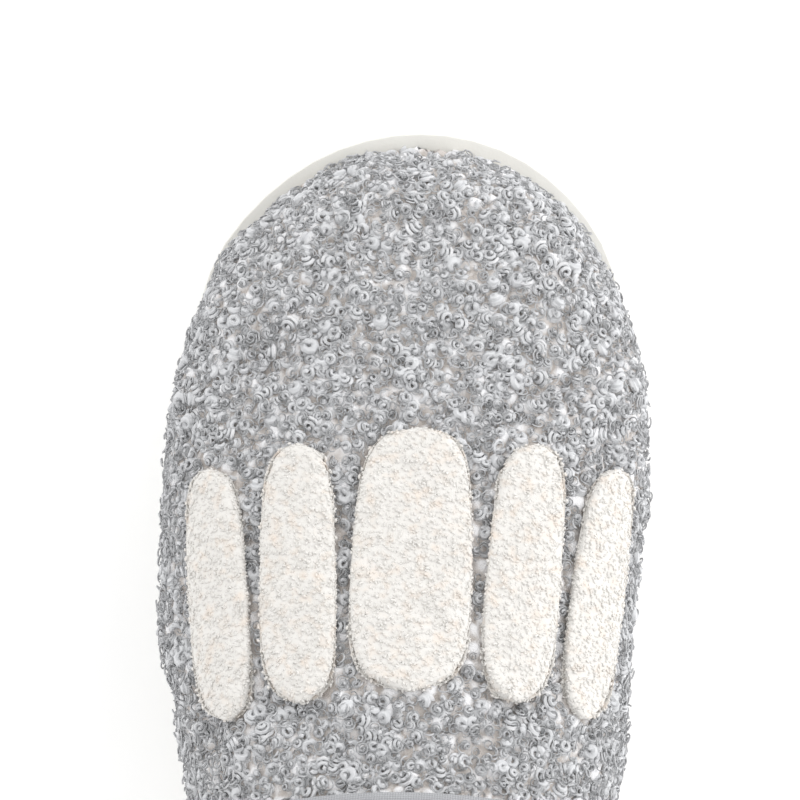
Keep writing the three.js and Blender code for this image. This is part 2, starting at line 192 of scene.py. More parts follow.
def finish(name, paint, **steady):
    """A material: paint(tree) gives what changes over the surface, steady what doesn't."""
    material = bpy.data.materials.new(name)
    material.use_nodes = True
    material.node_tree.nodes.clear()
    tree = Tree(material.node_tree)
    inputs = {key.replace("_", " "): value for key, value in steady.items()}
    shader = tree.node("ShaderNodeBsdfPrincipled", None, inputs)
    for key, value in paint(tree).items():
        tree.feed(shader.inputs[key], value)
    tree.node("ShaderNodeOutputMaterial", None, {"Surface": shader.outputs["BSDF"]})
    return material


print("finish helpers ready")

# %% [markdown]
# The curly pile is cool grey yarn. Each curl carries two numbers: tone, a random tone of its own, and rise,
# from 0 where it leaves the backing to 1 at its top. One grey all over would look sooty, because little light
# gets down between curls, so a painted light makes the yarn paler at its foot, and a painted shade makes it
# darker at its top, which holds down the highlights there. The backing is pale felt, with a painted shade,
# darker and a little brown, in its hollows.

# %% Finish of the curly pile
def strand_lines(tree, count, twist):
    """Waves that run along a roll's yarn with a slow twist, as its plies do. Needs the yarn's own map."""
    around = tree.node("ShaderNodeUVMap", {"uv_map": "yarn"}).outputs[0]
    parts = tree.node("ShaderNodeSeparateXYZ", None, {0: around})
    across, along = (Flow(tree, parts.outputs[i]) for i in (0, 1))
    return ((across * count + along * twist) * (2 * math.pi)).sine() * 0.5 + 0.5


def paint_pile(tree):
    shade = mark(tree, "tone")
    rise = mark(tree, "rise")
    fibre = cloud(tree, 0.3 * MM, 3)
    plies = strand_lines(tree, 5, 3)
    # The yarn's colour at the top of a curl, painted darker: a painted shade that holds down its highlights.
    painted_shade_top = between(tree, shade * 0.6 + plies * 0.4, srgb(196, 197, 199), srgb(212, 213, 215))
    # The yarn's colour at the foot of a curl, painted nearly white: a painted light for the light that
    # neighbouring curls keep out.
    painted_light_foot = between(tree, fibre, srgb(238, 237, 237), srgb(248, 247, 248))
    colour = between(tree, rise * 1.5 + fibre * 0.3 + plies * 0.15, painted_light_foot, painted_shade_top)
    return {
        "Base Color": colour,
        "Roughness": 0.84 + fibre * 0.12,
        "Normal": relief(tree, plies + fibre * 0.8, 0.1 * MM),
    }


pile = finish("curl_yarn", paint_pile, Sheen_Weight=0.15, Sheen_Roughness=0.5, Specular_IOR_Level=0.1)


def paint_backing(tree):
    hollow = mark(tree, "hollow")
    fibre = cloud(tree, 0.35 * MM, 4)
    felt = between(tree, fibre, srgb(234, 233, 234), srgb(246, 246, 248))
    # The backing's colour in the hollows between clumps: a painted shade, darker and a little brown.
    shade = between(tree, fibre, srgb(186, 177, 170), srgb(214, 208, 203))
    colour = between(tree, hollow * 1.6 - 0.5 + fibre * 0.3, felt, shade)
    return {"Base Color": colour, "Roughness": 0.88 + fibre * 0.1, "Normal": relief(tree, fibre, 0.35 * MM)}


backing = finish("pile_backing", paint_backing, Sheen_Weight=0.2)
print("finishes:", pile.name, backing.name)

# %% [markdown]
# Chenille is short cream yarn cut so that its fibres stand up in a dense brush. It is nearly white, with
# warm beige specks where the yarn's core shows. The specks are a slow noise cut by a fine one.

# %% Finish of the chenille
def paint_chenille(tree):
    speck = cloud(tree, 1.1 * MM, 3)
    warm = cloud(tree, 2.6 * MM, 1)
    fibre = cloud(tree, 0.3 * MM, 3)
    base = between(tree, speck, srgb(223, 221, 218), srgb(216, 213, 208))
    colour = between(tree, (warm - 0.5) * 3 * fibre, base, srgb(224, 207, 191))
    return {
        "Base Color": colour,
        "Roughness": 0.85 + fibre * 0.1,
        "Normal": relief(tree, fibre + speck * 0.5, 0.12 * MM),
    }


soft_sheen = {"Sheen_Weight": 0.2, "Sheen_Roughness": 0.5, "Specular_IOR_Level": 0.2}
chenille = finish("chenille_yarn", paint_chenille, **soft_sheen)
print("finish:", chenille.name)

# %% [markdown]
# The sole is one moulding of closed-cell foam: off-white and satin, with a faint skin texture and a slow
# drift of tone. The tread under it is greyer rubber with a fine cellular grain and a few scuffs.

# %% Finishes of the sole
def paint_foam_skin(tree):
    skin = cloud(tree, 0.7 * MM, 4)
    drift = cloud(tree, 30 * MM, 2)
    colour = between(tree, drift, srgb(222, 221, 216), srgb(217, 215, 209))
    return {
        "Base Color": colour,
        "Roughness": 0.48 + skin * 0.14,
        "Normal": relief(tree, skin, 0.05 * MM),
    }


foam_skin = finish("moulded_foam", paint_foam_skin)


def paint_tread(tree):
    grain = cells(tree, 0.8 * MM)
    scuff = cloud(tree, 14 * MM, 4)
    colour = between(tree, scuff, srgb(208, 207, 202), srgb(192, 190, 184))
    return {
        "Base Color": colour,
        "Roughness": 0.6 + scuff * 0.2,
        "Normal": relief(tree, grain, 0.08 * MM),
    }


tread_rubber = finish("tread_rubber", paint_tread)
print("finishes:", foam_skin.name, tread_rubber.name)

# %% [markdown]
# Inside, the foot meets short cream plush. Its nap lies in soft patches that catch the light differently;
# a slow noise paints them into its colour as lighter and darker patches, a painted sheen, over a fine noise
# for the fibres.

# %% Finish of the plush
def paint_plush(tree):
    nap = cloud(tree, 7 * MM, 2)
    tuft = cells(tree, 1.3 * MM)
    fibre = cloud(tree, 0.3 * MM, 3)
    # The slow nap noise lightens and darkens the colour in patches: a painted sheen.
    colour = between(tree, nap * 0.6 + tuft * 0.4, srgb(222, 217, 209), srgb(202, 195, 185))
    return {
        "Base Color": colour,
        "Roughness": 0.86 + fibre * 0.1,
        "Normal": relief(tree, fibre * 0.5 + (1 - tuft) + nap * 0.6, 0.5 * MM),
    }


plush = finish("plush", paint_plush, Sheen_Weight=0.5, Sheen_Roughness=0.5)
print("finish:", plush.name)

# %% [markdown]
# Tape, wrap and piping are grey woven cloth. Two sine waves at right angles, each along a diagonal of the
# frame's axes, cross into a weave of half-millimetre threads on whichever way the cloth faces.

# %% Finishes of the tape and thread
def weave(tree, pitch):
    parts = tree.node("ShaderNodeSeparateXYZ", None, {0: place(tree)})
    x, y, z = (Flow(tree, parts.outputs[i]) for i in range(3))
    turn = 2 * math.pi / pitch
    over = ((x + y * 0.6 + z) * turn).sine()
    under = ((x - y * 0.8 - z * 0.9) * turn).sine()
    return over * under * 0.5 + 0.5


def paint_tape(tree):
    cloth = weave(tree, 1.1 * MM)
    patch = cloud(tree, 6 * MM, 3)
    colour = between(tree, cloth * 0.6 + patch * 0.4, srgb(138, 139, 142), srgb(176, 177, 180))
    return {
        "Base Color": colour,
        "Roughness": 0.8 + patch * 0.12,
        "Normal": relief(tree, cloth, 0.16 * MM),
    }


tape = finish("woven_tape", paint_tape, Sheen_Weight=0.25)


def paint_thread(tree):
    ply = cloud(tree, 0.4 * MM, 2)
    colour = between(tree, ply, srgb(150, 151, 154), srgb(196, 197, 199))
    return {"Base Color": colour, "Roughness": 0.6 + ply * 0.2, "Normal": relief(tree, ply, 0.1 * MM)}


thread = finish("sewing_thread", paint_thread, Sheen_Weight=0.2)
print("finishes:", tape.name, thread.name)

# %% [markdown]
# The layers that no one sees, foam, wadding, board and stiffener, are still painted as what they are.

# %% Finishes of the hidden layers
def paint_open_foam(tree):
    pores = cells(tree, 0.9 * MM)
    age = cloud(tree, 20 * MM)
    colour = between(tree, pores * 0.6 + age * 0.4, srgb(214, 204, 178), srgb(240, 233, 214))
    return {"Base Color": colour, "Roughness": 0.85 + pores * 0.1, "Normal": relief(tree, pores, 0.3 * MM)}


def paint_board(tree):
    pulp = cloud(tree, 1.5 * MM, 5)
    fleck = cloud(tree, 0.4 * MM, 2)
    colour = between(tree, pulp * 0.7 + fleck * 0.3, srgb(142, 118, 86), srgb(186, 162, 126))
    return {"Base Color": colour, "Roughness": 0.8 + pulp * 0.15, "Normal": relief(tree, fleck, 0.05 * MM)}


def paint_wadding(tree):
    loft = cloud(tree, 3 * MM, 5)
    colour = between(tree, loft, srgb(226, 224, 219), srgb(244, 243, 240))
    return {"Base Color": colour, "Roughness": 0.88 + loft * 0.1, "Normal": relief(tree, loft, 0.6 * MM)}


open_foam = finish("footbed_open_foam", paint_open_foam)
fibre_board = finish("fibre_board", paint_board)
wadding = finish("polyester_wadding", paint_wadding, Sheen_Weight=0.3)
for node, material in {"insole_board": fibre_board, "toe_puff": fibre_board}.items():
    frame["nodes"][node].data.materials.clear()
    frame["nodes"][node].data.materials.append(material)
print("hidden layers painted")

# %% [markdown]
# ## From a frame solid to a finished piece
#
# A frame solid is loose triangles. A copy is merged, its triangles are joined into quads, and it is then
# bevelled or subdivided. Only the copy is changed, and it takes over from the solid on the same body.

# %% Helpers for pieces
def copy_of(node):
    """A bmesh copy of a frame solid, with its vertices merged and its triangles paired into quads."""
    shape = bmesh.new()
    shape.from_mesh(frame["nodes"][node].data)
    bmesh.ops.remove_doubles(shape, verts=shape.verts, dist=0.01 * MM)
    bmesh.ops.join_triangles(
        shape,
        faces=shape.faces,
        angle_face_threshold=math.radians(40),
        angle_shape_threshold=math.radians(120),
    )
    bmesh.ops.recalc_face_normals(shape, faces=shape.faces)
    return shape


def round_edges(shape, radius, sharper_than=45, segments=3):
    """Bevels the edges whose faces meet at more than an angle."""
    sharp = [e for e in shape.edges if e.is_manifold and e.calc_face_angle() > math.radians(sharper_than)]
    bmesh.ops.bevel(
        shape,
        geom=sharp,
        offset=radius,
        offset_type="OFFSET",
        affect="EDGES",
        segments=segments,
        profile=0.5,
        material=-1,
        clamp_overlap=True,
    )
    return len(sharp)


def piece(name, shape, material, slot, *stands_for, levels=0):
    """Turns a bmesh into an object that rides on the slipper and stands for some frame solids."""
    mesh = bpy.data.meshes.new(name)
    shape.to_mesh(mesh)
    shape.free()
    mesh.materials.append(material)
    mesh.shade_smooth()
    made = bpy.data.objects.new(name, mesh)
    bpy.context.scene.collection.objects.link(made)
    if levels:
        smooth = made.modifiers.new("smooth", "SUBSURF")
        smooth.levels = smooth.render_levels = levels
    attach(made, "root")
    if stands_for:
        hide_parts(*stands_for)
    print(name, len(mesh.polygons), "faces")
    return made


def settle(made):
    """Applies an object's modifiers to its mesh."""
    graph = bpy.context.evaluated_depsgraph_get()
    final = bpy.data.meshes.new_from_object(made.evaluated_get(graph), depsgraph=graph)
    made.modifiers.clear()
    made.data = final
    final.name = made.name
    return made


def lumps(point, *layers):
    """Smooth noise at a point. Each layer has a height in millimetres and a number of waves in a metre."""
    return sum(height * MM * noise.noise(point * waves) for height, waves in layers)


print("piece helpers ready")

# %% [markdown]
# ## Sole
#
# The foam sole has soft moulded edges, a few millimetres round along its top rim, which is what shows beside
# the toe. The tread's edges are crisper. Both are copies of their frame solids with their edges bevelled.

# %% Sole and tread
SOLE_EDGE = 2.6 * MM
TREAD_EDGE = 0.35 * MM
sole_shape = copy_of("midsole")
round_edges(sole_shape, SOLE_EDGE, 50, 4)
piece("sole", sole_shape, foam_skin, "midsole_foam", "midsole")

tread_shape = copy_of("outsole_tread")
round_edges(tread_shape, TREAD_EDGE, 50, 2)
piece("tread", tread_shape, tread_rubber, "outsole_rubber", "outsole_tread")

# %% [markdown]
# ## Footbed
#
# The foot stands on a plush cover over foam. It could be crowned by hand, but cloth simulation gives it the
# fullness of something stuffed: the cover is remeshed into even faces, its edge and underside are pinned, and
# air pressure lifts the rest. How far any point may move is capped. The dips that a heel and a ball of the
# foot leave are pressed in afterwards.

# %% A cloth that is blown up
AIR_FRAMES = 20


def blow_up(made, voxel, pressure, cap, held):
    """Inflates a closed piece. held(vertex) says which vertices stay where they are."""
    remesh = made.modifiers.new("even_faces", "REMESH")
    remesh.mode = "VOXEL"
    remesh.voxel_size = voxel
    settle(made)
    start = [vert.co.copy() for vert in made.data.vertices]
    pins = made.vertex_groups.new(name="pins")
    pins.add([vert.index for vert in made.data.vertices if held(vert)], 1.0, "REPLACE")
    cloth = made.modifiers.new("cloth", "CLOTH")
    cloth.settings.quality = 5
    cloth.settings.use_pressure = True
    cloth.settings.uniform_pressure_force = pressure
    cloth.settings.vertex_group_mass = "pins"
    cloth.settings.effector_weights.gravity = 0
    for frame_number in range(1, AIR_FRAMES + 1):
        bpy.context.scene.frame_set(frame_number)
    settle(made)
    bpy.context.scene.frame_set(1)
    for vert, origin in zip(made.data.vertices, start):
        move = vert.co - origin
        vert.co = origin + move * min(1.0, cap / max(move.length, 1e-9))
    print(made.name, "highest", round(max(v.co.z for v in made.data.vertices), 4))


def dip(point, centre, radius, depth):
    """How far a soft round dent lowers a point seen from above."""
    away = math.hypot(point.x - centre[0], point.y - centre[1]) / radius
    return depth * math.exp(-away * away * 2)


# %% Footbed cover, wrap and piping
low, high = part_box("footbed_cover")
heel_dip = {"centre": (0.0, high.y - 42 * MM), "radius": 30 * MM, "depth": 1.5 * MM}
ball_dip = {"centre": (-4 * MM, low.y + 62 * MM), "radius": 32 * MM, "depth": 1.2 * MM}
NAP = ((0.3, 160), (0.35, 60))
LOOKS_UP = 0.3
FREE_TO_RISE = 0.6
cover = piece("footbed_plush", copy_of("footbed_cover"), plush, "footbed_plush", "footbed_cover")
blow_up(cover, voxel=1.8 * MM, pressure=4, cap=1.6 * MM, held=lambda vert: vert.normal.z < FREE_TO_RISE)
for vert in cover.data.vertices:
    if vert.normal.z > LOOKS_UP:
        vert.co.z += lumps(vert.co, *NAP) - (dip(vert.co, **heel_dip) + dip(vert.co, **ball_dip))
cover.data.shade_smooth()
subdivided = cover.modifiers.new("smooth", "SUBSURF")
subdivided.levels = subdivided.render_levels = 1

wrap_shape = copy_of("footbed_wrap")
round_edges(wrap_shape, 0.4 * MM, 50, 2)
piece("footbed_band", wrap_shape, tape, "wrap_fabric", "footbed_wrap")
piece("footbed_edge_piping", copy_of("footbed_piping"), tape, "binding_tape", "footbed_piping", levels=1)

# %% [markdown]
# Under the cover lie the foam and the soft pad let into it at the heel, and inside the upper lies its
# wadding. They don't show on a whole slipper, but each gets rounded edges like a cut pad's.

# %% Foam, heel pad and wadding
for name, node, material, slot, radius in (
    ("footbed_foam_pad", "footbed_foam", open_foam, "memory_foam", 0.6 * MM),
    ("heel_pad", "heel_cushion", open_foam, "memory_foam", 0.7 * MM),
    ("upper_wadding", "vamp_interlining", wadding, "interlining", 0.4 * MM),
):
    pad_shape = copy_of(node)
    round_edges(pad_shape, radius, 60, 2)
    piece(name, pad_shape, material, slot, node)

# %% [markdown]
# ## Upper
#
# The upper's fabric is taken from the outside of its frame solid: the faces that look away from the foot are
# kept and subdivided into a dense sheet, which is moved in to leave room for the curls. Cloth simulation
# would work on it too, but folds are easier to place one by one: they are pressed where the vamp bends behind
# the ball of the foot, with gentle lumps all over. Then come the felted clumps of a curly pile, which are
# the cells between scattered points.

# %% The upper's fabric
PILE_HEIGHT = 1.5 * MM
FOLDS = (
    # from, to, depth and half width in millimetres; a depth below 0 is a swelling
    ((45.5, -30), (43.0, 3), 3.2, 3.4),
    ((-47.5, -64), (-47.0, -34), 3.2, 3.4),
    ((30, -8), (14, 2), 0.9, 5),
    ((-22, -2), (-34, -20), 1.0, 5),
    ((54, 0), (52, 15), 2.8, 9),
    ((-54, -82), (-55, -50), -1.5, 9),
)


def fold_depth(point, hem):
    """How far the folds press a point of the upper in. They fade out towards its hem on the sole."""
    total = 0.0
    above_hem = max(0.0, min(1.0, (point.z - hem - 6 * MM) / (10 * MM)))
    for start, end, depth, width in FOLDS:
        a = Vector((*start, 0)) * MM
        b = Vector((*end, 0)) * MM
        flat = Vector((point.x, point.y, 0))
        share = max(0.0, min(1.0, (flat - a).dot(b - a) / (b - a).length_squared))
        away = (flat - a.lerp(b, share)).length / (width * MM)
        total += depth * MM * math.exp(-away * away)
    return total * above_hem


# %% The outside of the upper
low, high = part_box("vamp_outer")
sheet_shape = copy_of("vamp_outer")
sheet_shape.normal_update()
unwanted = []
for face in sheet_shape.faces:
    centre = face.calc_center_median()
    from_foot = centre - Vector((0, min(centre.y, high.y - 40 * MM), low.z + 14 * MM))
    underside = face.normal.z < -0.8 and centre.z < low.z + 3 * MM
    if face.normal.dot(from_foot) < 0 or face.normal.y > 0.6 or underside:
        unwanted.append(face)
bmesh.ops.delete(sheet_shape, geom=unwanted, context="FACES")
print("outer sheet:", len(sheet_shape.faces), "faces,", len(unwanted), "taken off")

# %% Folds and gentle lumps
HEM_PILE = 0.4  # at the hem the pile is pressed to this share of its height
HEM_HEIGHT = 12 * MM
bmesh.ops.subdivide_edges(sheet_shape, edges=sheet_shape.edges, cuts=3, use_grid_fill=True, smooth=0.6)
bmesh.ops.smooth_vert(
    sheet_shape,
    verts=[v for v in sheet_shape.verts if not v.is_boundary],
    factor=0.5,
    use_axis_x=True,
    use_axis_y=True,
    use_axis_z=True,
)
sheet_shape.normal_update()
for vert, normal in [(v, v.normal.copy()) for v in sheet_shape.verts]:
    room = PILE_HEIGHT * (HEM_PILE + (1 - HEM_PILE) * min(1.0, (vert.co.z - low.z) / HEM_HEIGHT))
    vert.co += normal * (lumps(vert.co, (0.9, 75), (0.6, 190)) - room - fold_depth(vert.co, low.z))
print("folded sheet:", len(sheet_shape.faces), "faces")

# %% Felted clumps
CLUMP = 3.6 * MM
CLUMP_HEIGHT = 1.1 * MM
CLUMP_FOOT = 0.5 * MM
bmesh.ops.subdivide_edges(sheet_shape, edges=sheet_shape.edges, cuts=2, use_grid_fill=True, smooth=0.3)
sheet_shape.normal_update()
# hollow, from 0 on a clump's crest to 1 in the dips between clumps, is the mask for the backing's painted
# shade.
hollow = sheet_shape.verts.layers.float.new("hollow")
for vert, normal in [(v, v.normal.copy()) for v in sheet_shape.verts]:
    near, second = noise.voronoi(vert.co / CLUMP)[0][:2]
    crest = min(1.0, 2.2 * (second - near))
    vert[hollow] = 1 - crest
    vert.co += normal * (CLUMP_HEIGHT * crest**0.6 - CLUMP_FOOT)
upper = piece("upper_fabric", sheet_shape, backing, "curly_pile", "vamp_outer")

# %% [markdown]
# ## Petals
#
# Each petal is a puffy patch of chenille, applied to the pile and stuffed a little. A copy of its frame solid
# is subdivided, its ends are made rounder, and its top is crowned: it rises with the distance from the
# outline, steeply at the edge and then nearly flat, as a stuffed patch does.

# %% Petals
PETALS = ["petal_motif_%d" % number for number in range(1, 6)]
PUFF = 0.9 * MM
SINK = 0.9 * MM
CUT_ENDS = (2.6, 0.62)  # two powers that say how the frame solid narrows to its tips
ROUND_ENDS = (6, 0.5)  # and how the finished patch does
TIP_WIDTH = 0.02
BLUNT_PAST = 0.93  # share of the half length past which a tip is drawn back
DRAWN_BACK = 0.5


def width_at(along, ends):
    """A petal's width as a share of its widest, at a share of its half length."""
    return (1 - along ** ends[0]) ** ends[1] + TIP_WIDTH


def crowned(node):
    """A petal's frame solid with rounder ends and a puffed-up top."""
    shape = copy_of(node)
    round_edges(shape, 0.5 * MM, 50, 2)
    bmesh.ops.subdivide_edges(shape, edges=shape.edges, cuts=2, use_grid_fill=True)
    near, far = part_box(node)
    middle = (near + far) / 2
    offsets = [vert.co - middle for vert in shape.verts]
    slope = sum(o.x * o.y for o in offsets) / sum(o.y * o.y for o in offsets)
    half_width = max(abs(o.x - slope * o.y) for o in offsets)
    half_length = (far.y - near.y) / 2
    shape.normal_update()
    up = sum((vert.normal for vert in shape.verts if vert.normal.z > 0), Vector()).normalized()
    moves = []
    for vert, offset in zip(shape.verts, offsets):
        along = min(1.0, abs(offset.y) / half_length)
        across = (offset.x - slope * offset.y) / half_width
        cut_width = width_at(along, CUT_ENDS)
        wider = width_at(along, ROUND_ENDS) / cut_width - 1
        level = Vector((1, 0, 0))
        if vert.normal.z > 0.2:
            level = Vector((vert.normal.z, 0, -vert.normal.x)).normalized()
        spread = level * across * half_width * min(1.0, wider)
        inside = max(0.0, 1 - (across / cut_width) ** 2) * (1 - along ** ROUND_ENDS[0])
        lump = lumps(vert.co, (0.35, 330), (0.45, 120))
        lift = PUFF * inside**0.4 + lump * min(1.0, 4 * inside) if vert.normal.z > 0 else 0.0
        blunted = math.copysign(DRAWN_BACK * half_length * max(0.0, along - BLUNT_PAST), offset.y)
        moves.append(spread + vert.normal * lift - up * SINK - Vector((0, blunted, 0)))
    for vert, move in zip(shape.verts, moves):
        vert.co += move
    return shape


petals = []
for n, node in enumerate(PETALS):
    petals.append(piece("petal_%d" % (n + 1), crowned(node), chenille, "chenille", node, levels=1))
for petal in petals:
    settle(petal)

# %% [markdown]
# ## Curls
#
# Curly pile is yarn that springs into little rolls. A few rolls are modelled, each a small ring of vertices
# spun round an axis with a rise, which gives from under one to over two turns of yarn, and then drawn in
# towards its top. Finer strands with fewer sides lie over them, and short nubs make the chenille. Each has
# only a few dozen faces, because thousands of them are scattered.

# %% Model the rolls
NARROWEST = 0.02 * MM


def roll(name, yarn, radius, turns, rise, sides, steps, taper):
    """A roll of yarn: its radius and rise in millimetres, drawn in towards its top by taper."""
    shape = bmesh.new()
    upright = Matrix.Translation((radius * MM, 0, 0)) @ Matrix.Rotation(math.pi / 2, 4, "X")
    ring = bmesh.ops.create_circle(shape, cap_ends=True, segments=sides, radius=yarn * MM, matrix=upright)
    bmesh.ops.spin(
        shape,
        geom=list(shape.faces) + list(shape.edges) + ring["verts"],
        cent=(0, 0, 0),
        axis=(0, 0, 1),
        dvec=(0, 0, rise * MM / steps),
        angle=turns * 2 * math.pi,
        steps=steps,
        use_merge=False,
    )
    shape.verts.index_update()
    # rise, from a roll's foot to its top, also sets the pile's painted light and painted shade.
    lift = shape.verts.layers.float.new("rise")
    yarn_map = shape.loops.layers.uv.new("yarn")
    around = {}
    for vert in shape.verts:
        along = (vert.index // sides) / steps
        outwards = math.hypot(vert.co.x, vert.co.y) - radius * MM
        upwards = vert.co.z - along * rise * MM
        around[vert.index] = (math.atan2(upwards, outwards) / (2 * math.pi)) % 1.0
        vert[lift] = (vert.co.z / MM + yarn) / (rise + 2 * yarn)
    for face in shape.faces:
        wraps = max(around[v.index] for v in face.verts) - min(around[v.index] for v in face.verts) > 0.5
        for loop in face.loops:
            across = around[loop.vert.index]
            across += 1.0 if wraps and across < 0.5 else 0.0
            loop[yarn_map].uv = (across, (loop.vert.index // sides) / steps)
    for vert in shape.verts:
        across = math.hypot(vert.co.x, vert.co.y)
        drawn_in = max(NARROWEST, across - taper * radius * MM * (vert.index // sides) / steps) / across
        vert.co.x *= drawn_in
        vert.co.y *= drawn_in
    bmesh.ops.recalc_face_normals(shape, faces=shape.faces)
    mesh = bpy.data.meshes.new(name)
    shape.to_mesh(mesh)
    shape.free()
    mesh.shade_smooth()
    print(name, len(mesh.polygons), "faces")
    return bpy.data.objects.new(name, mesh)


def box_of(name, *members):
    """A collection that only the scatter sees."""
    made = bpy.data.collections.new(name)
    for member in members:
        made.objects.link(member)
    return made


rolls = box_of(
    "rolls",
    roll("roll_spiral", 0.37, 1.35, 2.3, 1.3, 4, 20, 0.76),
    roll("roll_snail", 0.36, 1.2, -2.2, 1.4, 4, 19, 0.74),
    roll("roll_bun", 0.66, 1.05, 1.5, 1.0, 5, 12, 0.5),
    roll("roll_loose", 0.42, 1.15, -1.7, 1.1, 5, 14, 0.68),
    roll("roll_hook", 0.46, 1.0, 0.85, 0.9, 5, 9, 0.45),
)
strands = box_of(
    "strands",
    roll("strand_hook", 0.18, 1.05, 0.62, 0.5, 3, 7, 0.25),
    roll("strand_ring", 0.19, 0.9, -0.9, 0.4, 3, 9, 0.2),
    roll("strand_snail", 0.17, 1.2, 1.5, 0.5, 3, 13, 0.6),
)
tufts = box_of(
    "tufts",
    roll("tuft_nub", 0.31, 0.5, 0.2, 0.1, 5, 2, 0),
    roll("tuft_bend", 0.28, 0.4, 0.36, 0.3, 4, 3, 0),
)

# %% [markdown]
# The rolls are scattered with Geometry Nodes. Points are spread over the sheet no closer than a spacing,
# points under a petal or the throat's tape are left out, and each point takes one of the rolls, turned and
# tilted at random. The result is applied, so that each piece is an ordinary mesh. Hair would be finer still,
# but it isn't a mesh. Each curl is also given a small cell of a map of its own, so that a bake has somewhere
# to put its yarn.

# %% Scatter
class Scatter(Tree):
    """The node tree that spreads a collection's members over a mesh."""

    def random(self, kind, low, high, seed):
        output = {"FLOAT": 1, "FLOAT_VECTOR": 0}[kind]
        ends = {"FLOAT": (2, 3), "FLOAT_VECTOR": (0, 1)}[kind]
        inputs = {ends[0]: low, ends[1]: high, "Seed": seed}
        return self.node("FunctionNodeRandomValue", {"data_type": kind}, inputs).outputs[output]

    def store(self, geometry, name, value, kind="FLOAT", domain="POINT"):
        settings = {"data_type": kind, "domain": domain}
        made = self.node("GeometryNodeStoreNamedAttribute", settings, {"Geometry": geometry, "Name": name})
        self.feed(made.inputs["Value"], value)
        return made.outputs["Geometry"]

    def drop(self, geometry, unwanted):
        inputs = {"Geometry": geometry, "Selection": unwanted}
        return self.node("GeometryNodeDeleteGeometry", {"domain": "POINT"}, inputs).outputs["Geometry"]


CELLS_ACROSS = 64  # each curl's cell in the map; a cell's yarn leaves a margin round it
CELL_FILL = (0.7, 0.85)


def scatter(name, base, members, spacing, seed, tilt, sizes, bury, material, slot, band=None, clear_of=()):
    """A piece made of members spread over base, in a band of Y where one is given."""
    group = bpy.data.node_groups.new(name, "GeometryNodeTree")
    group.interface.new_socket("Geometry", in_out="INPUT", socket_type="NodeSocketGeometry")
    group.interface.new_socket("Geometry", in_out="OUTPUT", socket_type="NodeSocketGeometry")
    tree = Scatter(group)
    sheet = tree.node("NodeGroupInput").outputs["Geometry"]
    spread = tree.node(
        "GeometryNodeDistributePointsOnFaces",
        {"distribute_method": "POISSON"},
        {"Mesh": sheet, "Distance Min": spacing, "Density Max": 3 / spacing**2, "Seed": seed},
    )
    points = tree.store(spread.outputs["Points"], "turn", spread.outputs["Rotation"], "QUATERNION")
    where = tree.node("GeometryNodeInputPosition").outputs["Position"]
    if band:
        parts = tree.node("ShaderNodeSeparateXYZ", None, {0: where})
        y = Flow(tree, parts.outputs[1])
        points = tree.drop(points, (y < band[0]) + (y > band[1] - 1e-9))
    for other, distance in clear_of:
        target = tree.node("GeometryNodeObjectInfo", None, {"Object": other}).outputs["Geometry"]
        near = tree.flow("GeometryNodeProximity", {"target_element": "FACES"}, {0: target}, output="Distance")
        points = tree.drop(points, near < distance)
    points = tree.store(points, "tone", tree.random("FLOAT", 0.0, 1.0, seed + 1))
    index = tree.flow("GeometryNodeInputIndex")
    points = tree.store(points, "curl", index)
    turn = tree.node("GeometryNodeInputNamedAttribute", {"data_type": "QUATERNION"}, {"Name": "turn"})
    lean = tree.random("FLOAT_VECTOR", (-tilt, -tilt, 0), (tilt, tilt, 2 * math.pi), seed + 2)
    turned = tree.node(
        "FunctionNodeRotateRotation", {"rotation_space": "LOCAL"}, {0: turn.outputs["Attribute"], 1: lean}
    )
    stamp = tree.node(
        "GeometryNodeCollectionInfo",
        None,
        {"Collection": members, "Separate Children": True, "Reset Children": True},
    )
    placed = tree.node(
        "GeometryNodeInstanceOnPoints",
        None,
        {
            "Points": points,
            "Instance": stamp.outputs[0],
            "Pick Instance": True,
            "Rotation": turned.outputs[0],
            "Scale": tree.random("FLOAT", *sizes, seed + 3),
        },
    )
    moved = tree.node(
        "GeometryNodeTranslateInstances", None, {"Instances": placed.outputs[0], "Translation": (0, 0, -bury)}
    )
    real = tree.node("GeometryNodeRealizeInstances", None, {0: moved.outputs[0]}).outputs[0]
    yarn = tree.node("GeometryNodeInputNamedAttribute", {"data_type": "FLOAT_VECTOR"}, {"Name": "yarn"})
    curl = tree.flow("GeometryNodeInputNamedAttribute", {"data_type": "FLOAT"}, {"Name": "curl"})
    spot = tree.node("ShaderNodeSeparateXYZ", None, {0: yarn.outputs["Attribute"]})
    u, v = (Flow(tree, spot.outputs[i]) for i in (0, 1))
    corner = tree.node(
        "ShaderNodeCombineXYZ",
        None,
        {
            "X": (curl % CELLS_ACROSS + u * CELL_FILL[0]) / CELLS_ACROSS,
            "Y": ((curl / CELLS_ACROSS).floor() + v * CELL_FILL[1]) / CELLS_ACROSS,
        },
    )
    real = tree.store(real, "OFBake", corner.outputs[0], "FLOAT2", "CORNER")
    painted = tree.node("GeometryNodeSetMaterial", None, {"Geometry": real, "Material": material})
    tree.node("NodeGroupOutput", None, {0: painted.outputs[0]})

    made = bpy.data.objects.new(name, base.data.copy())
    made.data.name = name
    bpy.context.scene.collection.objects.link(made)
    made.modifiers.new("scatter", "NODES").node_group = group
    settle(made)
    made.data.shade_smooth()
    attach(made, "root")
    print(name, len(made.data.polygons), "faces")
    return made


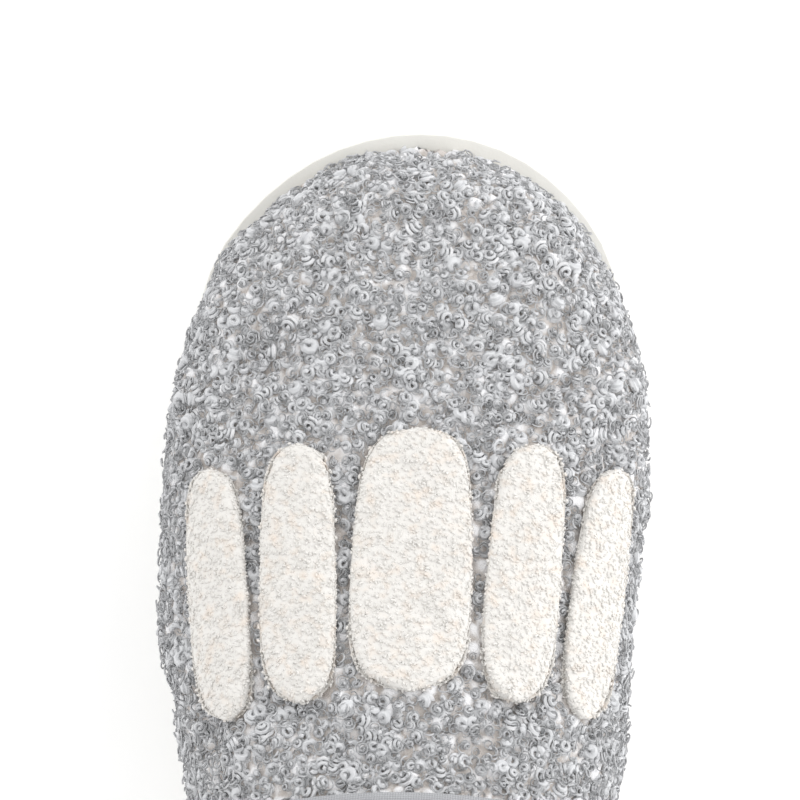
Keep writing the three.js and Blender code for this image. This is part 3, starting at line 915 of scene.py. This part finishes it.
# %% Curls, strands and tufts
CURLS = {"spacing": 1.95 * MM, "seed": 11, "tilt": 0.6, "sizes": (0.85, 1.6), "bury": 0.5 * MM}
STRANDS = {"spacing": 1.6 * MM, "seed": 31, "tilt": 0.6, "sizes": (0.75, 1.35), "bury": -0.8 * MM}
TUFTS = {"spacing": 0.62 * MM, "tilt": 0.35, "sizes": (0.65, 1.25), "bury": 0.17 * MM}
FIRST_TUFT_SEED = 51
PETAL_CLEARANCE = 1.5 * MM
TAPE_CLEARANCE = 2.1 * MM
BANDS = 8
BAND_MARGIN = 10 * MM
low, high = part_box("vamp_outer")
clear_of = [(petal, PETAL_CLEARANCE) for petal in petals]
clear_of.append((frame["nodes"]["throat_binding"], TAPE_CLEARANCE))
limits = [
    low.y - BAND_MARGIN + (high.y - low.y + 2 * BAND_MARGIN) * n / BANDS for n in range(BANDS + 1)
]
for n in range(BANDS):
    shared = {"band": limits[n:n + 2], "material": pile, "slot": "curly_pile", "clear_of": clear_of}
    scatter("curls_%d" % (n + 1), upper, rolls, **CURLS, **shared)
    scatter("strands_%d" % (n + 1), upper, strands, **STRANDS, **shared)

for n, petal in enumerate(petals):
    brush = {"seed": FIRST_TUFT_SEED + n, "material": chenille, "slot": "chenille"}
    scatter("tufts_%d" % (n + 1), petal, tufts, **TUFTS, **brush)

# %% Clear away the templates and give the sheet its thickness
CLOTH_THICKNESS = 1.2 * MM
for tray in (rolls, strands, tufts):
    for member in list(tray.objects):
        bpy.data.objects.remove(member)
    bpy.data.collections.remove(tray)

cloth = upper.modifiers.new("cloth_thickness", "SOLIDIFY")
cloth.thickness = CLOTH_THICKNESS
cloth.offset = -1
settle(upper)
print(upper.name, len(upper.data.polygons), "faces with its thickness")

# %% [markdown]
# ## Lining and throat
#
# The lining is the same short plush as the footbed. Along the throat, a tape is folded over the edge of all
# the layers, and a bar tack, a dense block of stitching, holds it at each end. A tack's ribs are waves on a
# subdivided copy.

# %% Lining, tape and bar tacks
RIB_PITCH = 0.8 * MM
RIB_HEIGHT = 0.14
piece("vamp_plush_lining", copy_of("vamp_lining"), plush, "lining_plush", "vamp_lining", levels=2)

binding_shape = copy_of("throat_binding")
bmesh.ops.subdivide_edges(binding_shape, edges=binding_shape.edges, cuts=1, use_grid_fill=True)
piece("throat_tape", binding_shape, tape, "binding_tape", "throat_binding", levels=1)

for side in ("inner", "outer"):
    tack_shape = copy_of("bar_tack_" + side)
    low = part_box("bar_tack_" + side)[0]
    bmesh.ops.subdivide_edges(tack_shape, edges=tack_shape.edges, cuts=4, use_grid_fill=True)
    tack_shape.normal_update()
    for vert, normal in [(v, v.normal.copy()) for v in tack_shape.verts]:
        vert.co += normal * RIB_HEIGHT * MM * math.cos((vert.co.y - low.y) * 2 * math.pi / RIB_PITCH)
    piece("tack_" + side, tack_shape, thread, "thread", "bar_tack_" + side)

# %% [markdown]
# The frame's thread is one tube along the tape. A real lockstitch shows as separate stitches, so the tube's
# middle line is found from its rings, and a small pointed bead of thread is set on it at every stitch.

# %% Stitches
STITCH_PITCH = 3.2 * MM
STITCH_RADIUS = 0.42 * MM
STITCH_HALF = 0.39  # half of a stitch's length, as a share of the pitch
BELOW_THROAT = 5 * MM


def middle_line(node, closer_than):
    """The centres of a tube's rings, in order round the throat. Short edges join a ring's vertices."""
    tube = copy_of(node)
    left = set(tube.verts)
    centres = []
    while left:
        ring = []
        queue = [left.pop()]
        while queue:
            vert = queue.pop()
            ring.append(vert.co.copy())
            near = [e.other_vert(vert) for e in vert.link_edges if e.calc_length() < closer_than]
            queue += [v for v in near if v in left]
            left -= set(near)
        centres.append(sum(ring, Vector()) / len(ring))
    tube.free()
    low_z = min(c.z for c in centres)
    return sorted(centres, key=lambda c: math.atan2(c.z - low_z + BELOW_THROAT, c.x))


def walk(points, pitch):
    """Points every pitch along a line, each with the line's direction there."""
    ahead = pitch / 2
    for start, end in zip(points, points[1:]):
        length = (end - start).length
        while ahead < length:
            yield start.lerp(end, ahead / length), (end - start).normalized()
            ahead += pitch
        ahead -= length


stitch_shape = bmesh.new()
bead = Matrix.Diagonal((STITCH_RADIUS, STITCH_RADIUS, STITCH_HALF * STITCH_PITCH, 1))
for centre, direction in walk(middle_line("throat_stitch", 1.2 * MM), STITCH_PITCH):
    facing = direction.to_track_quat("Z", "Y").to_matrix().to_4x4()
    laid = Matrix.Translation(centre) @ facing @ bead
    bmesh.ops.create_uvsphere(stitch_shape, u_segments=8, v_segments=8, radius=1, matrix=laid)
piece("throat_stitches", stitch_shape, thread, "thread", "throat_stitch")

# %% [markdown]
# ## Floor, light and camera
#
# The slipper stands on a pale floor under soft daylight from all round, with a window on its inner side, and
# it is looked at from straight above its front half. The floor lies a hair below the tread, so that the two
# don't share a plane.

# %% Floor
def paint_floor(tree):
    drift = cloud(tree, 0.4, 2)
    return {"Base Color": between(tree, drift, srgb(255, 255, 255), srgb(252, 252, 252))}


FLOOR_GAP = 0.1 * MM
floor_shape = bmesh.new()
just_below = Matrix.Translation((0, 0, -FLOOR_GAP))
bmesh.ops.create_grid(floor_shape, x_segments=1, y_segments=1, size=3, matrix=just_below)
floor_mesh = bpy.data.meshes.new("floor")
floor_shape.to_mesh(floor_mesh)
floor_shape.free()
floor_mesh.materials.append(finish("floor_paint", paint_floor, Roughness=0.9))
floor = bpy.data.objects.new("floor", floor_mesh)
bpy.context.scene.collection.objects.link(floor)
print("floor laid", FLOOR_GAP, "m below the tread")

# %% Light
LAMP_WIDTH = 0.9
MIDDLE = (0, -0.06, 0.03)


def lamp(name, where, power):
    """A square soft lamp that points at the middle of the vamp."""
    data = bpy.data.lights.new(name, "AREA")
    data.size = LAMP_WIDTH
    data.energy = power
    made = bpy.data.objects.new(name, data)
    made.location = where
    made.rotation_euler = (Vector(MIDDLE) - Vector(where)).to_track_quat("-Z", "Y").to_euler()
    bpy.context.scene.collection.objects.link(made)


world = bpy.data.worlds.new("daylight")
world.use_nodes = True
world.node_tree.nodes["Background"].inputs["Color"].default_value = (1, 1, 1, 1)
world.node_tree.nodes["Background"].inputs["Strength"].default_value = 1.0
bpy.context.scene.world = world
lamp("window", (-0.95, -0.2, 0.48), 6.5)
lamp("far_side", (0.9, -0.2, 0.45), 2)
lamp("in_front", (0.05, -1.0, 0.5), 2.7)
print("three lamps point at", MIDDLE)

# %% Camera
LENS = 149.2
VIEW_HEIGHT = 0.75
LOOKED_AT = (0.0006, -0.070, 0.035)
camera_data = bpy.data.cameras.new("camera")
camera_data.lens = LENS
camera_data.sensor_width = 36
camera_data.clip_start = 0.05
camera = bpy.data.objects.new("camera", camera_data)
camera.location = (*LOOKED_AT[:2], LOOKED_AT[2] + VIEW_HEIGHT)
camera.rotation_euler = (0, 0, math.pi)
bpy.context.scene.collection.objects.link(camera)
bpy.context.scene.camera = camera
bpy.context.scene.view_settings.view_transform = "Standard"
print("camera", VIEW_HEIGHT, "m above", LOOKED_AT)
